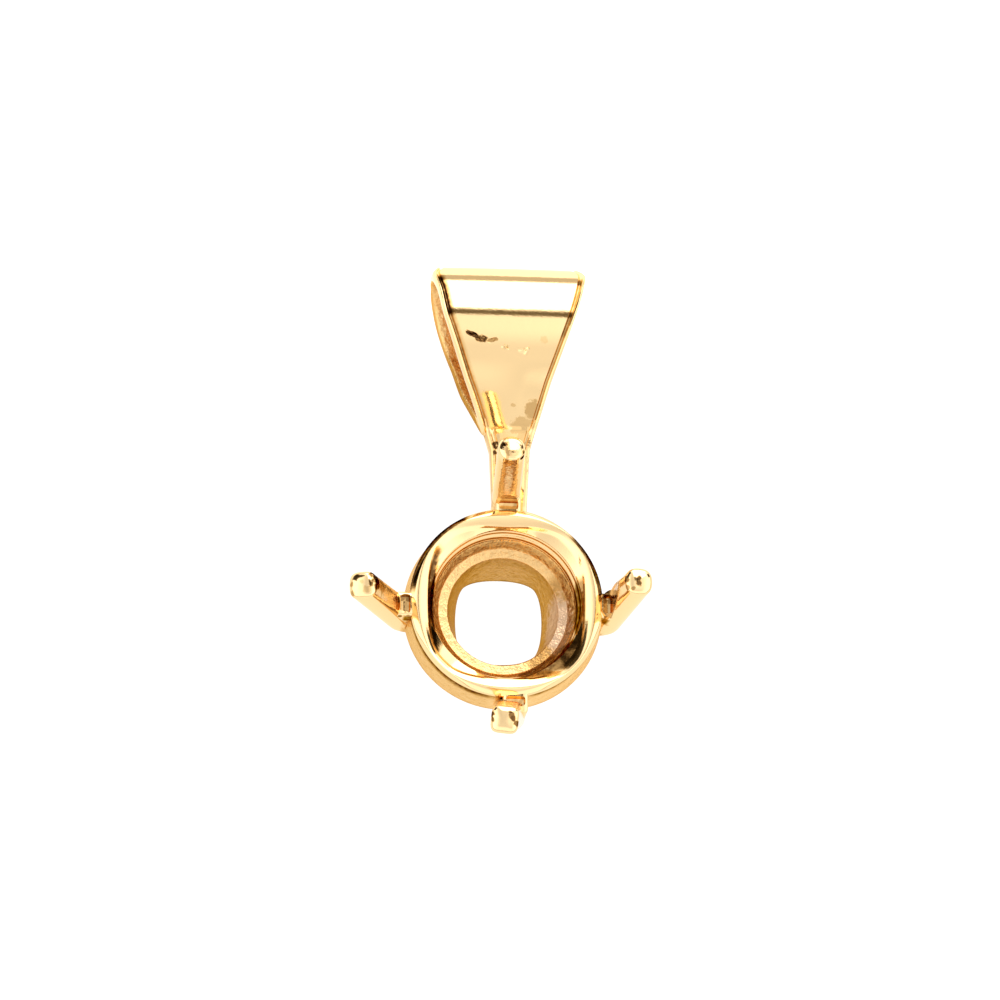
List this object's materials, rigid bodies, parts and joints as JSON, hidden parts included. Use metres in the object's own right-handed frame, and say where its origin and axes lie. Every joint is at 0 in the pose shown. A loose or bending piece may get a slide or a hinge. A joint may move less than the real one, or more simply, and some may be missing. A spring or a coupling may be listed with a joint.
{
  "type": "pendant mount",
  "caption": "Empty prong-set basket pendant mount with a folded, tapered bail; it holds a round stone and hangs on a chain.",
  "frame": {"origin": "middle of the setting's back opening, on the plane of its back face, which rests on the table", "axes": "+Z along the setting's axis from the back face to the stone, +Y from the setting to the bail, +X across the bail, the way a chain passes"},
  "size_m": [0.0099, 0.0165, 0.006],
  "materials": {
    "gold": "polished"
  },
  "bodies": {
    "root": {"pendant_mount": "gold"}
  },
  "joints": []
}
